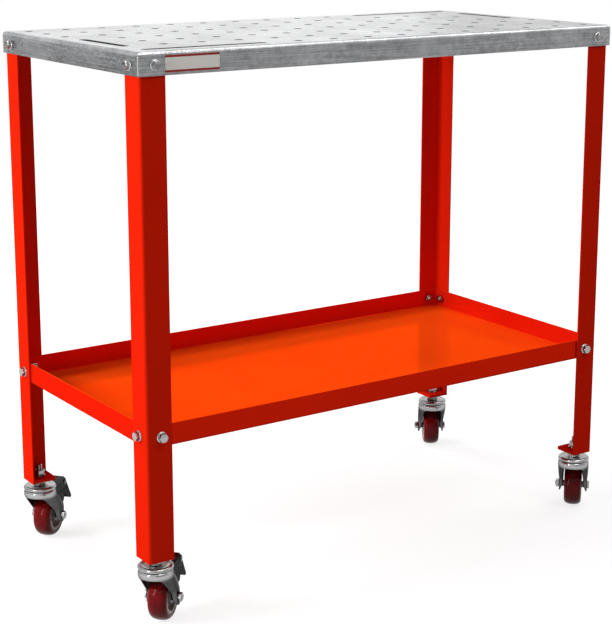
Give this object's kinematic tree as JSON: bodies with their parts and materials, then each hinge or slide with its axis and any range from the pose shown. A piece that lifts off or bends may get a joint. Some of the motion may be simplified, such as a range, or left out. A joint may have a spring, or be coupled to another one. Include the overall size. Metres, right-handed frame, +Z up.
{
  "type": "mobile welding table",
  "caption": "Rolling welding table: folded steel top with clamping holes and slots, bolted angle legs, lipped shelf tray and swivel casters, some with foot brakes.",
  "frame": {"origin": "on the floor, under the middle of the overall footprint", "axes": "+X along the table's length to the right, +Y from the front to the back, +Z up"},
  "size_m": [0.9574, 0.5182, 0.8827],
  "materials": {
    "galvanised_sheet": "galvanised, satin",
    "red_enamel": "gloss enamel",
    "zinc_plate": "bright zinc",
    "hub_grey": "moulded grey",
    "maroon_polyurethane": "glossy cast polyurethane",
    "brake_rubber": "matt"
  },
  "bodies": {
    "frame": {"table_top": "galvanised_sheet", "shelf_tray": "red_enamel", "leg_front_left": "red_enamel", "leg_front_right": "red_enamel", "leg_back_right": "red_enamel", "leg_back_left": "red_enamel", "top_bolt_front_left_on_left": "zinc_plate", "top_bolt_front_left_on_front": "zinc_plate", "top_bolt_back_left_on_left": "zinc_plate", "top_bolt_back_left_on_back": "zinc_plate", "top_bolt_front_right_on_right": "zinc_plate", "top_bolt_front_right_on_front": "zinc_plate", "top_bolt_back_right_on_right": "zinc_plate", "top_bolt_back_right_on_back": "zinc_plate", "shelf_bolt_front_left_on_left": "zinc_plate", "shelf_bolt_front_left_on_front": "zinc_plate", "shelf_bolt_back_left_on_left": "zinc_plate", "shelf_bolt_back_left_on_back": "zinc_plate", "shelf_bolt_front_right_on_right": "zinc_plate", "shelf_bolt_front_right_on_front": "zinc_plate", "shelf_bolt_back_right_on_right": "zinc_plate", "shelf_bolt_back_right_on_back": "zinc_plate", "caster_stem_front_left": "zinc_plate", "caster_stem_front_right": "zinc_plate", "caster_stem_back_right": "zinc_plate", "caster_stem_back_left": "zinc_plate", "stem_nut_front_left": "zinc_plate", "stem_nut_front_right": "zinc_plate", "stem_nut_back_right": "zinc_plate", "stem_nut_back_left": "zinc_plate", "race_cap_front_left": "zinc_plate", "race_cap_front_right": "zinc_plate", "race_cap_back_right": "zinc_plate", "race_cap_back_left": "zinc_plate"},
    "caster_front_left": {"fork_front_left": "zinc_plate", "axle_front_left": "zinc_plate", "axle_sleeve_front_left": "zinc_plate", "pedal_pin_front_left": "zinc_plate"},
    "caster_front_right": {"fork_front_right": "zinc_plate", "axle_front_right": "zinc_plate", "axle_sleeve_front_right": "zinc_plate"},
    "caster_back_right": {"fork_back_right": "zinc_plate", "axle_back_right": "zinc_plate", "axle_sleeve_back_right": "zinc_plate"},
    "caster_back_left": {"fork_back_left": "zinc_plate", "axle_back_left": "zinc_plate", "axle_sleeve_back_left": "zinc_plate", "pedal_pin_back_left": "zinc_plate"},
    "wheel_front_left": {"wheel_hub_front_left": "hub_grey", "wheel_tread_front_left": "maroon_polyurethane"},
    "wheel_front_right": {"wheel_hub_front_right": "hub_grey", "wheel_tread_front_right": "maroon_polyurethane"},
    "wheel_back_right": {"wheel_hub_back_right": "hub_grey", "wheel_tread_back_right": "maroon_polyurethane"},
    "wheel_back_left": {"wheel_hub_back_left": "hub_grey", "wheel_tread_back_left": "maroon_polyurethane"},
    "pedal_front_left": {"brake_pedal_front_left": "zinc_plate", "brake_shoe_front_left": "brake_rubber"},
    "pedal_back_left": {"brake_pedal_back_left": "zinc_plate", "brake_shoe_back_left": "brake_rubber"}
  },
  "joints": [
    {"name": "swivel_front_left", "type": "hinge", "parent": "frame", "child": "caster_front_left", "pos_m": [-0.44712, -0.22754, 0.0985], "axis": [0, 0, 1], "continuous": true},
    {"name": "swivel_front_right", "type": "hinge", "parent": "frame", "child": "caster_front_right", "pos_m": [0.41928, -0.22754, 0.0985], "axis": [0, 0, 1], "continuous": true},
    {"name": "swivel_back_right", "type": "hinge", "parent": "frame", "child": "caster_back_right", "pos_m": [0.41928, 0.18386, 0.0985], "axis": [0, 0, 1], "continuous": true},
    {"name": "swivel_back_left", "type": "hinge", "parent": "frame", "child": "caster_back_left", "pos_m": [-0.44712, 0.18386, 0.0985], "axis": [0, 0, 1], "continuous": true},
    {"name": "roll_front_left", "type": "hinge", "parent": "caster_front_left", "child": "wheel_front_left", "pos_m": [-0.4226, -0.20546, 0.038], "axis": [0.6691, -0.7431, 0], "continuous": true},
    {"name": "roll_front_right", "type": "hinge", "parent": "caster_front_right", "child": "wheel_front_right", "pos_m": [0.44281, -0.20441, 0.038], "axis": [0.7009, -0.7133, 0], "continuous": true},
    {"name": "roll_back_right", "type": "hinge", "parent": "caster_back_right", "child": "wheel_back_right", "pos_m": [0.43773, 0.21122, 0.038], "axis": [0.829, -0.5592, 0], "continuous": true},
    {"name": "roll_back_left", "type": "hinge", "parent": "caster_back_left", "child": "wheel_back_left", "pos_m": [-0.42222, 0.20551, 0.038], "axis": [0.6561, -0.7547, 0], "continuous": true},
    {"name": "brake_front_left", "type": "hinge", "parent": "caster_front_left", "child": "pedal_front_left", "pos_m": [-0.40551, -0.19007, 0.0913], "axis": [-0.6691, 0.7431, 0], "range_deg": [0, 10]},
    {"name": "brake_back_left", "type": "hinge", "parent": "caster_back_left", "child": "pedal_back_left", "pos_m": [-0.40486, 0.2206, 0.0913], "axis": [-0.6561, 0.7547, 0], "range_deg": [0, 10]}
  ]
}
